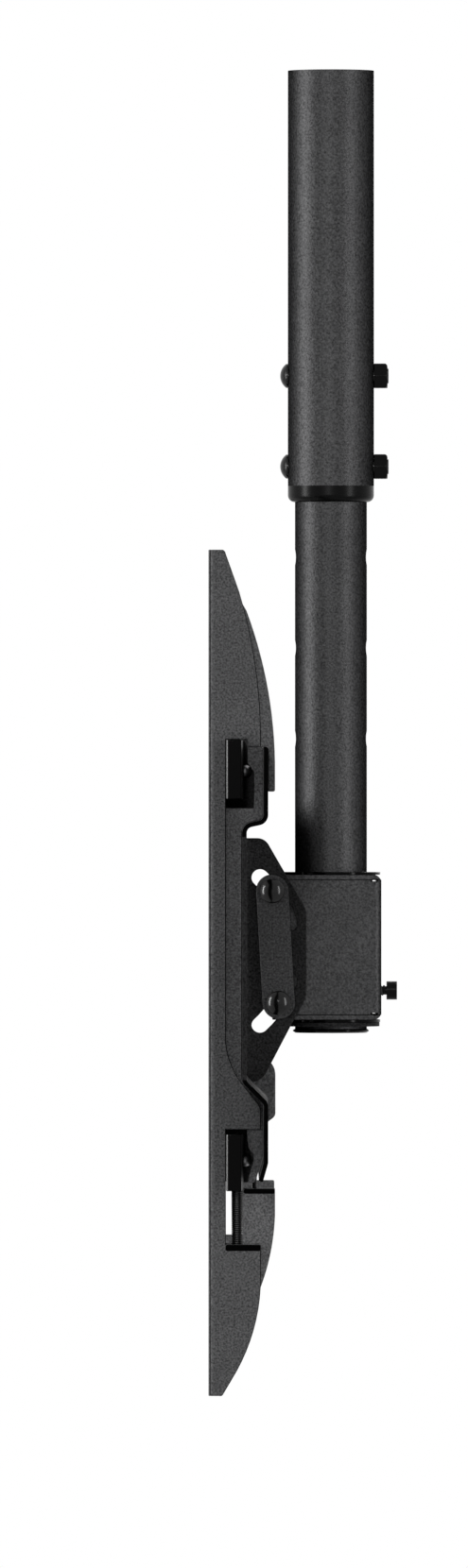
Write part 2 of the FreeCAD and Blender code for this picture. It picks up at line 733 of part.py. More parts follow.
def make_adjuster_block(low, high, rod_x, bore_low, jaw_screw):
    # moulded block that stands proud of the arm's outer wall, its upright edges well rounded
    body = block(block_left, block_right, block_front, block_rear, low, high)
    upright = [e for e in body.Edges if e.BoundBox.ZLength > 1.0]
    body = body.makeFillet(block_side_round, upright)
    ends = [e for e in body.Edges if e.BoundBox.ZLength < 1e-6]
    body = body.makeFillet(block_end_round, ends)
    body = body.cut(rod(rod_radius + running_gap, Vec(rod_x, rod_y, bore_low), UP, high - bore_low + 1))
    # pocket that clears the head of the screw behind the block
    pocket = rod(jaw_head_radius + 0.5, Vec(jaw_screw.x, block_rear - 3.4, jaw_screw.z), ALONG_Y, 5)
    return body.cut(pocket)


def make_upper_block():
    low = tilt_pivot_z + 80.7
    return make_adjuster_block(low, plate_top + 3.8, upper_rod_x, low + 3.3, upper_jaw_screw)


def make_lower_block():
    low = tilt_pivot_z - 124.5
    return make_adjuster_block(low, lock_window_top - 2.5, lower_rod_x, low - 9, lower_jaw_screw)


def make_jaw(shape, screw):
    body = profile_plate(shape, block_rear, block_rear + jaw_thickness)
    return body.cut(rod(jaw_screw_radius, screw - ALONG_Y * 5, ALONG_Y, 12))


def make_upper_jaw():
    top = plate_top
    low = tilt_pivot_z + 75.9
    return make_jaw([
        (jaw_left, top + 3.1, 0), (-45.6, top + 3.1, 1), (-44.2, top - 0.5, 2), (-43.9, top - 7.7, 1),
        (jaw_right, top - 12.5, 1), (jaw_right, low, 0.5), (-51.0, low, 0.5), (jaw_left, low + 3.9, 0.5)],
        upper_jaw_screw)


def make_lower_jaw():
    level = tilt_pivot_z
    return make_jaw([
        (jaw_left, level - 94.8, 0), (-44.7, level - 94.8, 0.5), (-44.0, level - 104.5, 1),
        (jaw_right - 0.2, level - 108.0, 1), (jaw_right - 0.2, level - 112.0, 1), (-44.2, level - 120.4, 0.5),
        (jaw_left, level - 120.4, 0.5)], lower_jaw_screw)


def make_jaw_screw(centre):
    # short screw with a domed head that holds the jaw to its block
    seat = Vec(centre.x, block_rear, centre.z)
    head = domed_head(seat, Vec(0, -1, 0), jaw_head_radius, 2.6)
    shank = rod(jaw_screw_radius, seat - ALONG_Y * 0.5, ALONG_Y, jaw_thickness + 1.5)
    return head.fuse(shank).removeSplitter()


def main():
    os.makedirs("parts", exist_ok=True)
    save("outer_tube", make_outer_tube())
    save("tube_sleeve", make_tube_sleeve())
    save("column_bolts", make_column_bolts())
    save("column_nuts", make_column_nuts())
    save("inner_tube", make_inner_tube())
    save("retaining_ring", make_retaining_ring())
    save("end_cap", make_end_cap())
    save("swivel_housing", make_swivel_housing())
    save("upper_bush", make_bush(True))
    save("lower_bush", make_bush(False))
    save("lock_screw", make_lock_screw())
    save("lock_weld_nut", make_lock_weld_nut())
    save("tilt_bolts", make_tilt_bolts())
    save("tilt_nuts", make_tilt_nuts())
    save("tilt_spacers", make_tilt_spacers())
    save("inner_washers", make_washers(inner_washer_radius, housing_half_width, inner_washer_height))
    save("outer_washers", make_washers(outer_washer_radius, tab_outer, outer_washer_height))
    save("link_bar_left", make_link_bar(-1))
    save("link_bar_right", make_link_bar(1))
    save("tilt_plate", make_tilt_plate())
    arm_pieces = {
        "arm": make_arm(),
        "height_screw": make_upper_screw(),
        "lock_rod": make_lower_screw(),
        "stop_pin": make_stop_pin(),
        "height_block": make_upper_block(),
        "height_jaw": make_upper_jaw(),
        "height_jaw_screw": make_jaw_screw(upper_jaw_screw),
        "lock_block": make_lower_block(),
        "lock_jaw": make_lower_jaw(),
        "lock_jaw_screw": make_jaw_screw(lower_jaw_screw),
    }
    for name, shape in arm_pieces.items():
        shape.translate(Vec(0, -arm_rest, 0))
        save(name + "_left", shape)
        save(name + "_right", mirrored(shape))


main()
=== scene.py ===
import math

import bpy
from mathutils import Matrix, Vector
from mathutils.bvhtree import BVHTree
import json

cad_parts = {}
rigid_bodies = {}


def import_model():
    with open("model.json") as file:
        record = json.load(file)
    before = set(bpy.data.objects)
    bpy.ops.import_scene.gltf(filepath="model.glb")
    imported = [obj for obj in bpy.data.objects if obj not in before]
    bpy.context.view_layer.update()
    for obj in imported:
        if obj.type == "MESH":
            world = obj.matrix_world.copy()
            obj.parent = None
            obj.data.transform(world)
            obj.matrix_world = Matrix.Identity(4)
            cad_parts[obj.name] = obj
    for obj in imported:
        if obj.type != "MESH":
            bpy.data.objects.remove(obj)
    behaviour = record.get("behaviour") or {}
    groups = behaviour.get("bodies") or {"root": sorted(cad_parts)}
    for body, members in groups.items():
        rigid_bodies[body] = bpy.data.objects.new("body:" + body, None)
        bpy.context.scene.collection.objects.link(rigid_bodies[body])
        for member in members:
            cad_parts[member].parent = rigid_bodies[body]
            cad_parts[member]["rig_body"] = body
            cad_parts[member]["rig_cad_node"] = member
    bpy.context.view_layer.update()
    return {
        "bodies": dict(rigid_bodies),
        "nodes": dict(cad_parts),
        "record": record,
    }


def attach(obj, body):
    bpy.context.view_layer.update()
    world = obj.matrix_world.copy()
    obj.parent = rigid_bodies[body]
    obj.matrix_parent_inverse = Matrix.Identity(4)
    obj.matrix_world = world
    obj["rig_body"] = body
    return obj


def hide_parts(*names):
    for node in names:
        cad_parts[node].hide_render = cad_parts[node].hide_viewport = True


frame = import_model()
nodes = frame["nodes"]
bodyOf = {node: body for body, empty in frame["bodies"].items()
          for node in nodes if nodes[node].parent == empty}
slotOf = {part["node"]: part["material_slot"] for part in frame["record"]["subparts"]}
mm = 0.001
print("frame loaded,", len(nodes), "nodes")


# camera and light

cameraSetup = {
    "lens": 450.0,  # mm, nearly flat perspective as in the photo
    "sensor": 36.0,
    "frameHeight": 0.83,  # metres seen from top to bottom at the column
    "centreX": -0.05125,
    "centreZ": -0.3775,
    "clipStart": 0.5,
    "clipEnd": 200,
}


def placeCamera():
    lens = bpy.data.cameras.new("studioCamera")
    lens.lens = cameraSetup["lens"]
    lens.sensor_width = cameraSetup["sensor"]
    distance = cameraSetup["frameHeight"] * cameraSetup["lens"] / cameraSetup["sensor"]
    lens.clip_start = cameraSetup["clipStart"]
    lens.clip_end = cameraSetup["clipEnd"]
    camera = bpy.data.objects.new("studioCamera", lens)
    bpy.context.scene.collection.objects.link(camera)
    camera.location = (cameraSetup["centreX"], -distance, cameraSetup["centreZ"])
    camera.rotation_euler = (math.radians(90), 0, 0)
    bpy.context.scene.camera = camera


lampSetup = {
    "aim": Vector((-0.01, 0, -0.36)),
    "lamps": {  # name: azimuth from the camera side (+ is to the right), height, distance, width, tall side, watts
        "keyLeft": (-74, 0.1, 2.0, 0.25, 2.2, 54),
        "fillRight": (53, 0.1, 2.0, 0.25, 2.2, 26),
        "frontSoft": (-7, 0.95, 4.2, 0.5, 0.6, 50),
        "backSoft": (165, 0.9, 2.6, 1.2, 1.2, 24),
    },
}
worldSetup = {"ambient": 0.1}
floorSetup = {"height": -0.98, "radius": 3.2, "corners": 96, "colour": (0.86, 0.86, 0.86, 1), "roughness": 0.8,
              "paleness": 0.72}


def placeLamps():
    aim = lampSetup["aim"]
    for name, values in lampSetup["lamps"].items():
        azimuth, height, distance, width, tall, watts = values
        data = bpy.data.lights.new(name, "AREA")
        data.shape = "RECTANGLE"
        data.size = width
        data.size_y = tall
        data.energy = watts
        lamp = bpy.data.objects.new(name, data)
        bpy.context.scene.collection.objects.link(lamp)
        turn = math.radians(azimuth)
        lamp.location = aim + Vector((math.sin(turn) * distance, -math.cos(turn) * distance, height))
        lamp.rotation_mode = "QUATERNION"
        lamp.rotation_quaternion = (aim - lamp.location).to_track_quat("-Z", "Y")


def addMath(tree, operation, *given):
    # each given value is a number or the output that feeds the socket
    step = tree.nodes.new("ShaderNodeMath")
    step.operation = operation
    for socket, value in zip(step.inputs, given):
        if isinstance(value, (int, float)):
            socket.default_value = value
        else:
            tree.links.new(value, socket)
    return step.outputs[0]


def paintWorld():
    world = bpy.data.worlds.new("whiteStudio")
    bpy.context.scene.world = world
    world.use_nodes = True
    tree = world.node_tree
    tree.nodes.clear()
    out = tree.nodes.new("ShaderNodeOutputWorld")
    shown = tree.nodes.new("ShaderNodeBackground")
    shown.inputs["Color"].default_value = (1, 1, 1, 1)
    ambient = tree.nodes.new("ShaderNodeBackground")
    ambient.inputs["Color"].default_value = (1, 1, 1, 1)
    ambient.inputs["Strength"].default_value = worldSetup["ambient"]
    pathMask = addPathMask(tree)
    mix = tree.nodes.new("ShaderNodeMixShader")
    tree.links.new(pathMask, mix.inputs[0])
    tree.links.new(ambient.outputs[0], mix.inputs[1])
    tree.links.new(shown.outputs[0], mix.inputs[2])
    tree.links.new(mix.outputs[0], out.inputs["Surface"])


def addPathMask(tree):
    # 1 for rays that show the background: from the camera, a reflection or through glass
    path = tree.nodes.new("ShaderNodeLightPath")
    seen = addMath(tree, "MAXIMUM", path.outputs["Is Camera Ray"], path.outputs["Is Glossy Ray"])
    return addMath(tree, "MAXIMUM", seen, path.outputs["Is Transmission Ray"])


def layFloor():
    deselect()
    bpy.ops.mesh.primitive_circle_add(vertices=floorSetup["corners"], radius=floorSetup["radius"],
                                      fill_type="NGON", location=(0, 0, floorSetup["height"]))
    floor = bpy.context.active_object
    floor.name = "studioFloor"
    bpy.ops.object.transform_apply(location=True, rotation=True, scale=True)
    material = bpy.data.materials.new("paleFloor")
    material.use_nodes = True
    tree = material.node_tree
    shader = tree.nodes["Principled BSDF"]
    shader.inputs["Base Color"].default_value = floorSetup["colour"]
    shader.inputs["Roughness"].default_value = floorSetup["roughness"]
    # the floor looks pale and keeps a part of the shadow, and from below it is out of the way
    glow = tree.nodes.new("ShaderNodeEmission")
    share = addMath(tree, "MULTIPLY", addPathMask(tree), floorSetup["paleness"])
    pale = tree.nodes.new("ShaderNodeMixShader")
    tree.links.new(share, pale.inputs[0])
    tree.links.new(shader.outputs[0], pale.inputs[1])
    tree.links.new(glow.outputs[0], pale.inputs[2])
    below = tree.nodes.new("ShaderNodeNewGeometry")
    clear = tree.nodes.new("ShaderNodeBsdfTransparent")
    shown = tree.nodes.new("ShaderNodeMixShader")
    tree.links.new(below.outputs["Backfacing"], shown.inputs[0])
    tree.links.new(pale.outputs[0], shown.inputs[1])
    tree.links.new(clear.outputs[0], shown.inputs[2])
    tree.links.new(shown.outputs[0], tree.nodes["Material Output"].inputs["Surface"])
    floor.data.materials.append(material)


def deselect():
    for ob in list(bpy.context.selected_objects):
        ob.select_set(False)


bpy.context.scene.view_settings.view_transform = "Standard"
placeCamera()
placeLamps()
paintWorld()
layFloor()
print("camera, lamps and floor placed")


# finishes

grainSetup = {
    "fineDetail": 3, "fineRoughness": 0.6, "fineRange": (0.25, 0.75),
    "slowScale": 38, "slowDetail": 2, "slowRange": (0.3, 0.7), "slowShade": (0.93, 1.07),
    "bumpDistance": 0.0002,  # metres
}


def groupSocket(group, name, way, kind, value=None):
    socket = group.interface.new_socket(name=name, in_out=way, socket_type=kind)
    if value is not None:
        socket.default_value = value


def addNoise(group, place, detail):
    noise = group.nodes.new("ShaderNodeTexNoise")
    noise.inputs["Detail"].default_value = detail
    group.links.new(place.outputs["Object"], noise.inputs["Vector"])
    return noise


def addRange(group, noise, low, high):
    # stretches the middle of a noise
    spread = group.nodes.new("ShaderNodeMapRange")
    spread.inputs["From Min"].default_value = low
    spread.inputs["From Max"].default_value = high
    group.links.new(noise.outputs["Fac"], spread.inputs["Value"])
    return spread


def makeGrainGroup():
    # cast look of a baked coat: fine blobs over a slow mottling, in the piece's own coordinates
    group = bpy.data.node_groups.new("coatGrain", "ShaderNodeTree")
    groupSocket(group, "Colour", "INPUT", "NodeSocketColor", (0.03, 0.03, 0.03, 1))
    groupSocket(group, "Grain Size", "INPUT", "NodeSocketFloat", 900.0)
    groupSocket(group, "Contrast", "INPUT", "NodeSocketFloat", 0.35)
    groupSocket(group, "Depth", "INPUT", "NodeSocketFloat", 0.2)
    groupSocket(group, "Gloss Spread", "INPUT", "NodeSocketFloat", 0.1)
    groupSocket(group, "Gloss Level", "INPUT", "NodeSocketFloat", 0.5)
    groupSocket(group, "Colour", "OUTPUT", "NodeSocketColor")
    groupSocket(group, "Roughness", "OUTPUT", "NodeSocketFloat")
    groupSocket(group, "Normal", "OUTPUT", "NodeSocketVector")
    new, link = group.nodes.new, group.links.new
    given = new("NodeGroupInput")
    result = new("NodeGroupOutput")
    place = new("ShaderNodeTexCoord")
    fine = addNoise(group, place, grainSetup["fineDetail"])
    fine.inputs["Roughness"].default_value = grainSetup["fineRoughness"]
    link(given.outputs["Grain Size"], fine.inputs["Scale"])
    slow = addNoise(group, place, grainSetup["slowDetail"])
    slow.inputs["Scale"].default_value = grainSetup["slowScale"]
    spread = addRange(group, fine, *grainSetup["fineRange"])  # becomes a brightness factor round 1
    link(addMath(group, "SUBTRACT", 1, given.outputs["Contrast"]), spread.inputs["To Min"])
    link(addMath(group, "ADD", 1, given.outputs["Contrast"]), spread.inputs["To Max"])
    mottle = addRange(group, slow, *grainSetup["slowRange"])
    mottle.inputs["To Min"].default_value, mottle.inputs["To Max"].default_value = grainSetup["slowShade"]
    tint = new("ShaderNodeVectorMath")
    tint.operation = "SCALE"
    link(given.outputs["Colour"], tint.inputs[0])
    link(addMath(group, "MULTIPLY", spread.outputs["Result"], mottle.outputs["Result"]), tint.inputs["Scale"])
    link(tint.outputs["Vector"], result.inputs["Colour"])
    link(addMath(group, "MULTIPLY_ADD", fine.outputs["Fac"], given.outputs["Gloss Spread"],
                 given.outputs["Gloss Level"]), result.inputs["Roughness"])
    bump = new("ShaderNodeBump")
    bump.inputs["Distance"].default_value = grainSetup["bumpDistance"]
    link(given.outputs["Depth"], bump.inputs["Strength"])
    link(fine.outputs["Fac"], bump.inputs["Height"])
    link(bump.outputs["Normal"], result.inputs["Normal"])


finishes = {
    "columnCoat": {"colour": 0.034, "grain": 950, "contrast": 0.7, "depth": 0.6, "spread": 0.12, "gloss": 0.43,
                   "metallic": 1.0, "edge": 0.0, "specular": 0.5},
    "armCoat": {"colour": 0.06, "grain": 950, "contrast": 0.8, "depth": 0.6, "spread": 0.12, "gloss": 0.46,
                "metallic": 0.2, "edge": 0.1, "specular": 0.1},
    # painted light: a lighter copy of the arm coat
    "paintedLightCoat": {"colour": 0.076, "grain": 950, "contrast": 0.8, "depth": 0.6, "spread": 0.12, "gloss": 0.5,
                  "metallic": 0.2, "edge": 0.1, "specular": 0.1},
    "plateCoat": {"colour": 0.014, "grain": 950, "contrast": 1.0, "depth": 0.9, "spread": 0.12, "gloss": 0.5,
                  "metallic": 0.3, "edge": 0.1, "specular": 0.08},
    "linkCoat": {"colour": 0.036, "grain": 950, "contrast": 0.8, "depth": 0.6, "spread": 0.12, "gloss": 0.5,
                 "metallic": 0.3, "edge": 0.1, "specular": 0.08},
    # painted shade: near black for cut faces and rounds that lie in shade
    "paintedShade": {"colour": 0.0006, "grain": 950, "contrast": 0.3, "depth": 0.2, "spread": 0.1, "gloss": 0.5,
                "metallic": 0.0, "edge": 1.0, "specular": 0.006},
    "blackFastener": {"colour": 0.0006, "grain": 500, "contrast": 0.15, "depth": 0.03, "spread": 0.04, "gloss": 0.16,
                      "metallic": 0.0, "edge": 1.0, "specular": 0.08},
    "domeBlack": {"colour": 0.0004, "grain": 500, "contrast": 0.15, "depth": 0.02, "spread": 0.04, "gloss": 0.17,
                  "metallic": 0.0, "edge": 1.0, "specular": 0.26},
    # a painted highlight: bright metallic grey for black screws
    "paintedHighlightScrew": {"colour": 0.24, "grain": 500, "contrast": 0.15, "depth": 0.02, "spread": 0.04, "gloss": 0.28,
                   "metallic": 1.0, "edge": 1.0, "specular": 0.5},
    "blackPlastic": {"colour": 0.0005, "grain": 420, "contrast": 0.15, "depth": 0.03, "spread": 0.04, "gloss": 0.12,
                     "metallic": 0.0, "edge": 1.0, "specular": 0.045},
    "softPlastic": {"colour": 0.001, "grain": 700, "contrast": 0.2, "depth": 0.1, "spread": 0.08, "gloss": 0.24,
                    "metallic": 0.0, "edge": 1.0, "specular": 0.07},
    "threadBlack": {"colour": 0.0004, "grain": 500, "contrast": 0.15, "depth": 0.02, "spread": 0.05, "gloss": 0.38,
                    "metallic": 0.0, "edge": 1.0, "specular": 0.8},
    # a painted highlight for the blocks' upright rounds
    "paintedHighlightEdge": {"colour": 0.004, "grain": 420, "contrast": 0.2, "depth": 0.05, "spread": 0.1, "gloss": 0.3,
                    "metallic": 0.0, "edge": 1.0, "specular": 0.6},
    "washerPlastic": {"colour": 0.0015, "grain": 600, "contrast": 0.2, "depth": 0.1, "spread": 0.1, "gloss": 0.4,
                      "metallic": 0.0, "edge": 1.0, "specular": 0.03},
}
coolness = 1.02  # blue share of every finish against its red and green
slotFinish = {"column_coat": "columnCoat", "arm_coat": "armCoat", "plate_coat": "plateCoat",
              "black_fastener": "blackFastener", "black_plastic": "blackPlastic", "washer_plastic": "washerPlastic"}


def mixFinish(name):
    values = finishes[name]
    material = bpy.data.materials.new(name)
    material.use_nodes = True
    tree = material.node_tree
    shader = tree.nodes["Principled BSDF"]
    grain = tree.nodes.new("ShaderNodeGroup")
    grain.node_tree = bpy.data.node_groups["coatGrain"]
    shade = values["colour"]
    grain.inputs["Colour"].default_value = (shade, shade, shade * coolness, 1)
    for socket, key in (("Grain Size", "grain"), ("Contrast", "contrast"), ("Depth", "depth"),
                        ("Gloss Spread", "spread"), ("Gloss Level", "gloss")):
        grain.inputs[socket].default_value = values[key]
    for result, socket in (("Colour", "Base Color"), ("Roughness", "Roughness"), ("Normal", "Normal")):
        tree.links.new(grain.outputs[result], shader.inputs[socket])
    shader.inputs["Metallic"].default_value = values["metallic"]
    shader.inputs["Specular IOR Level"].default_value = values["specular"]
    # edge goes to Specular Tint; near 0, as on the coats, it darkens the reflection, most towards the outlines of
    # round pieces: painted shade there
    edge = values["edge"]
    shader.inputs["Specular Tint"].default_value = (edge, edge, edge, 1)
    return material


makeGrainGroup()
paints = {name: mixFinish(name) for name in finishes}
print("finishes mixed")


# pieces that keep the frame's own shape, with broken edges

edgeBreaks = {  # width in mm of the small round that each laser cut or moulded edge has
    "arm_left": 0.3, "arm_right": 0.3, "tilt_plate": 0.3, "swivel_housing": 0.3,
    "link_bar_left": 0.35, "link_bar_right": 0.35, "retaining_ring": 0.3,
    "height_jaw_left": 0.25, "height_jaw_right": 0.25, "lock_jaw_left": 0.25, "lock_jaw_right": 0.25,
    "upper_bush": 0.2, "lower_bush": 0.2, "column_nuts": 0.25, "tilt_nuts": 0.25,
}
meshSetup = {
    "weldGap": 0.002,  # mm, corners nearer than this are one
    "flatAngle": 0.4,  # degrees, faces that meet flatter than this are one
    "drawnGap": 0.01,  # the same two for the pieces that are drawn here
    "drawnFlat": 0.5,
    "breakAngle": 38,  # degrees, edges sharper than this get the small round
    "throwLimit": 1.1,  # times the round's width, a corner further from its sheet than this is pulled back
    "smoothAngle": math.radians(32),
}
plateLook = {  # mm
    "shadeFreeBand": (-405.0, -531.0),  # between these heights the cut ends keep the plate's coat; above and below them the ends get painted shade
    "cutEnd": 214.6,  # faces further out than this are the cut ends
    "earReach": 20,  # half breadth, foot and top of the two gussets below the web
    "earFoot": -556, "earTop": -523,
}
armLook = {  # mm out from the middle
    "ledgeFace": 117, "ledgeSlack": 0.2,  # cut ends of the folded ledges
    "wallRound": 115.5,  # the outer wall's small rounds lie beyond this
}
ownFinish = {  # where a node's look differs from its slot's
    "tube_sleeve": "softPlastic", "column_bolts": "domeBlack", "tilt_bolts": "domeBlack",
    # the jaw screws get a painted highlight
    "height_jaw_screw_left": "paintedHighlightScrew", "height_jaw_screw_right": "paintedHighlightScrew",
    "lock_jaw_screw_left": "paintedHighlightScrew", "lock_jaw_screw_right": "paintedHighlightScrew",
}


def paint(ob, finish):
    ob.data.materials.clear()
    ob.data.materials.append(paints[finish])


def weldCorners():
    bpy.ops.object.mode_set(mode="EDIT")
    bpy.ops.mesh.select_all(action="SELECT")
    bpy.ops.mesh.remove_doubles(threshold=meshSetup["weldGap"] * mm)
    bpy.ops.object.mode_set(mode="OBJECT")


def ownCopy(nodeName):
    # a welded copy that takes the node's place
    node = nodes[nodeName]
    piece = node.copy()
    piece.data = node.data.copy()
    piece.name = nodeName + "_soft"
    piece.parent = None
    del piece["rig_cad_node"]
    del piece["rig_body"]
    bpy.context.scene.collection.objects.link(piece)
    deselect()
    piece.select_set(True)
    bpy.context.view_layer.objects.active = piece
    bpy.ops.mesh.customdata_custom_splitnormals_clear()
    weldCorners()
    bpy.ops.object.shade_smooth_by_angle(angle=meshSetup["smoothAngle"])
    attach(piece, bodyOf[nodeName])
    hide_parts(nodeName)
    paint(piece, slotFinish[slotOf[nodeName]])
    return piece


def softenedCopy(nodeName, width, cuts=()):
    piece = ownCopy(nodeName)
    bpy.ops.object.mode_set(mode="EDIT")
    bpy.ops.mesh.select_all(action="SELECT")
    bpy.ops.mesh.dissolve_limited(angle_limit=math.radians(meshSetup["flatAngle"]))
    bpy.ops.object.mode_set(mode="OBJECT")
    breakEdges(piece, width, meshSetup["breakAngle"])
    pullBack(piece, nodes[nodeName], meshSetup["throwLimit"] * width)
    for height in cuts:
        bpy.ops.object.mode_set(mode="EDIT")
        bpy.ops.mesh.select_all(action="SELECT")
        bpy.ops.mesh.bisect(plane_co=(0, 0, height * mm), plane_no=(0, 0, 1))
        bpy.ops.object.mode_set(mode="OBJECT")
    flattenFaces(piece)
    return piece


def flattenFaces(piece):
    # broad faces shade flat right up to their small rounds
    weights = piece.modifiers.new("broadFaces", "WEIGHTED_NORMAL")
    weights.keep_sharp = True
    bpy.ops.object.modifier_apply(modifier=weights.name)


def pullBack(piece, node, most):
    # a corner that the bevel throws off its sheet goes to the nearest corner that it is joined to
    sheet = BVHTree.FromPolygons([v.co for v in node.data.vertices], [f.vertices[:] for f in node.data.polygons])
    corners = piece.data.vertices
    thrown = {v.index for v in corners if sheet.find_nearest(v.co)[3] > most * mm}
    joined = {}
    for edge in piece.data.edges:
        first, last = edge.vertices
        for here, there in ((first, last), (last, first)):
            if here in thrown and there not in thrown:
                joined.setdefault(here, []).append(there)
    for here, ends in joined.items():
        corners[here].co = min((corners[end].co.copy() for end in ends),
                               key=lambda place: (place - corners[here].co).length)
    if thrown:
        weldCorners()


def breakEdges(piece, width, angle):
    bevel = piece.modifiers.new("edgeBreak", "BEVEL")
    bevel.width = width * mm
    bevel.segments = 2
    bevel.limit_method = "ANGLE"
    bevel.angle_limit = math.radians(angle)
    bevel.use_clamp_overlap = False
    bevel.loop_slide = False
    bpy.ops.object.modifier_apply(modifier=bevel.name)
    bpy.ops.object.shade_smooth_by_angle(angle=meshSetup["smoothAngle"])


def secondFinish(piece, finish, chosen):
    # the faces that the test chooses get their own finish
    piece.data.materials.append(paints[finish])
    for face in piece.data.polygons:
        if chosen(face.center / mm, face.normal):
            face.material_index = len(piece.data.materials) - 1


threadedScrews = {
    # node: axis, centre of the shank across it, shank's low and high end, crest, root, pitch
    "lock_rod_left": ("Z", (-49.6, -108.0), (-621.9, -556.5), 3.0, 2.45, 1.0),
    "lock_rod_right": ("Z", (-49.6, 108.0), (-621.9, -556.5), 3.0, 2.45, 1.0),
    "height_screw_left": ("Z", (-51.1, -108.0), (-381.0, -352.0), 3.0, 2.45, 1.0),
    "height_screw_right": ("Z", (-51.1, 108.0), (-381.0, -352.0), 3.0, 2.45, 1.0),
    "lock_screw": ("X", (0.0, -486.75), (19.3, 29.4), 2.75, 2.1, 1.6),
}
threadSetup = {
    "crestStart": 0.28, "crestEnd": 0.64, "rootStart": 0.92,  # shares of the pitch
    "shank": (1.5, 3.02),  # mm from the axis, corners in here are the shank's
    "coreSlack": 1.01,  # the core is a little thicker than the thread's root
    "steps": 18,  # faces round the screw
}


def strokeLine(places):
    # a single vertex pulled from place to place, in metres
    bpy.ops.mesh.select_all(action="DESELECT")
    bpy.ops.mesh.primitive_plane_add(size=mm, location=places[0])
    bpy.ops.mesh.merge(type="CENTER")
    for here, there in zip(places, places[1:]):
        bpy.ops.mesh.extrude_region_move(TRANSFORM_OT_translate={"value": there - here})


def emptyDrawing(name):
    deselect()
    bpy.ops.mesh.primitive_plane_add(size=mm)
    piece = bpy.context.active_object
    piece.name = name
    bpy.ops.object.mode_set(mode="EDIT")
    bpy.ops.mesh.delete(type="VERT")
    return piece


def screwPlace(axis, centre, along):
    return Vector((*centre, along) if axis == "Z" else (along, *centre)) * mm


def cutThread(nodeName):
    axis, centre, ends, crest, root, pitch = threadedScrews[nodeName]
    low, high = ends
    # the shank of the copy goes down to the thread's root
    core = ownCopy(nodeName)
    bpy.ops.object.mode_set(mode="EDIT")
    bpy.ops.mesh.select_mode(type="VERT")
    bpy.ops.mesh.select_all(action="DESELECT")
    bpy.ops.object.mode_set(mode="OBJECT")
    inner, outer = threadSetup["shank"]
    for vertex in core.data.vertices:
        x, y, z = vertex.co / mm
        if axis == "Z":
            along, off = z, math.hypot(x - centre[0], y - centre[1])
        else:
            along, off = x, math.hypot(y - centre[0], z - centre[1])
        vertex.select = low - 0.01 < along < high + 0.01 and inner < off < outer
    shrink = root / crest * threadSetup["coreSlack"]
    bpy.ops.object.mode_set(mode="EDIT")
    bpy.ops.transform.resize(value=(shrink, shrink, 1) if axis == "Z" else (1, shrink, shrink),
                             center_override=screwPlace(axis, centre, 0))
    bpy.ops.object.mode_set(mode="OBJECT")

    thread = emptyDrawing(nodeName + "_thread")
    profile = [(root, 0), (crest, threadSetup["crestStart"]), (crest, threadSetup["crestEnd"]),
               (root, threadSetup["rootStart"]), (root, 1)]
    strokeLine([Vector((off, 0, share * pitch) if axis == "Z" else (share * pitch, 0, off)) * mm
                for off, share in profile])
    bpy.ops.object.mode_set(mode="OBJECT")
    helix = thread.modifiers.new("helix", "SCREW")
    helix.axis = axis
    helix.angle = 2 * math.pi
    helix.screw_offset = pitch * mm
    helix.iterations = int((high - low) / pitch) - 1
    helix.steps = threadSetup["steps"]
    helix.render_steps = threadSetup["steps"]
    bpy.ops.object.modifier_apply(modifier=helix.name)
    bpy.ops.object.mode_set(mode="EDIT")
    bpy.ops.mesh.select_all(action="SELECT")
    bpy.ops.mesh.remove_doubles(threshold=meshSetup["drawnGap"] * mm)
    bpy.ops.mesh.fill_holes(sides=0)
    bpy.ops.mesh.select_all(action="SELECT")
    bpy.ops.mesh.normals_make_consistent(inside=False)
    bpy.ops.transform.translate(value=screwPlace(axis, centre, low))
    bpy.ops.object.mode_set(mode="OBJECT")
    bpy.ops.object.shade_smooth_by_angle(angle=meshSetup["smoothAngle"])
    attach(thread, bodyOf[nodeName])
    paint(thread, "threadBlack")


def onShadedEnd(centre, normal):
    # painted shade: the cut ends of the lips and the stepped foot are near black, outside the band where they keep
    # the coat
    top, foot = plateLook["shadeFreeBand"]
    return abs(centre.y) > plateLook["cutEnd"] and not foot < centre.z < top


# the two gussets below the web, which get the painted light
def onEar(centre, normal):
    return abs(centre.y) < plateLook["earReach"] and plateLook["earFoot"] < centre.z < plateLook["earTop"]


def onLedgeFace(centre, normal):
    return abs(normal.y) > 0.5 and abs(abs(centre.y) - armLook["ledgeFace"]) < armLook["ledgeSlack"]


# the outer wall's rounds that face the tube, which get a painted shadow line
def onWallRound(centre, normal):
    return 0.1 < abs(normal.y) < 0.97 and normal.x > 0.1 and abs(centre.y) > armLook["wallRound"]


def onUprightRound(centre, normal):
    return abs(normal.x) > 0.3 and abs(normal.y) > 0.3


for nodeName, node in nodes.items():
    if nodeName in threadedScrews:
        cutThread(nodeName)
    elif nodeName.startswith(("height_block", "lock_block")):
        # painted highlight: the rounded upright edges get a lighter and far glossier finish than the block, so light
        # catches them
        piece = ownCopy(nodeName)
        flattenFaces(piece)
        secondFinish(piece, "paintedHighlightEdge", onUprightRound)
    elif nodeName in edgeBreaks:
        piece = softenedCopy(nodeName, edgeBreaks[nodeName], plateLook["shadeFreeBand"] if nodeName == "tilt_plate" else ())
        if nodeName == "tilt_plate":
            # painted shade on the plate's cut ends
            secondFinish(piece, "paintedShade", onShadedEnd)
            # painted light: the gusset ears get a lighter copy of the coat
            secondFinish(piece, "paintedLightCoat", onEar)
        elif nodeName in ("arm_left", "arm_right"):
            # painted shade: the ledges' cut faces and the outer wall's rounds towards the tube are near black
            secondFinish(piece, "paintedShade", onLedgeFace)
            secondFinish(piece, "paintedShade", onWallRound)
        elif nodeName.startswith("link"):
            paint(piece, "linkCoat")
    else:
        paint(node, ownFinish.get(nodeName, slotFinish[slotOf[nodeName]]))
print("frame pieces finished")


# hook sheets of the arms, right behind each outer wall

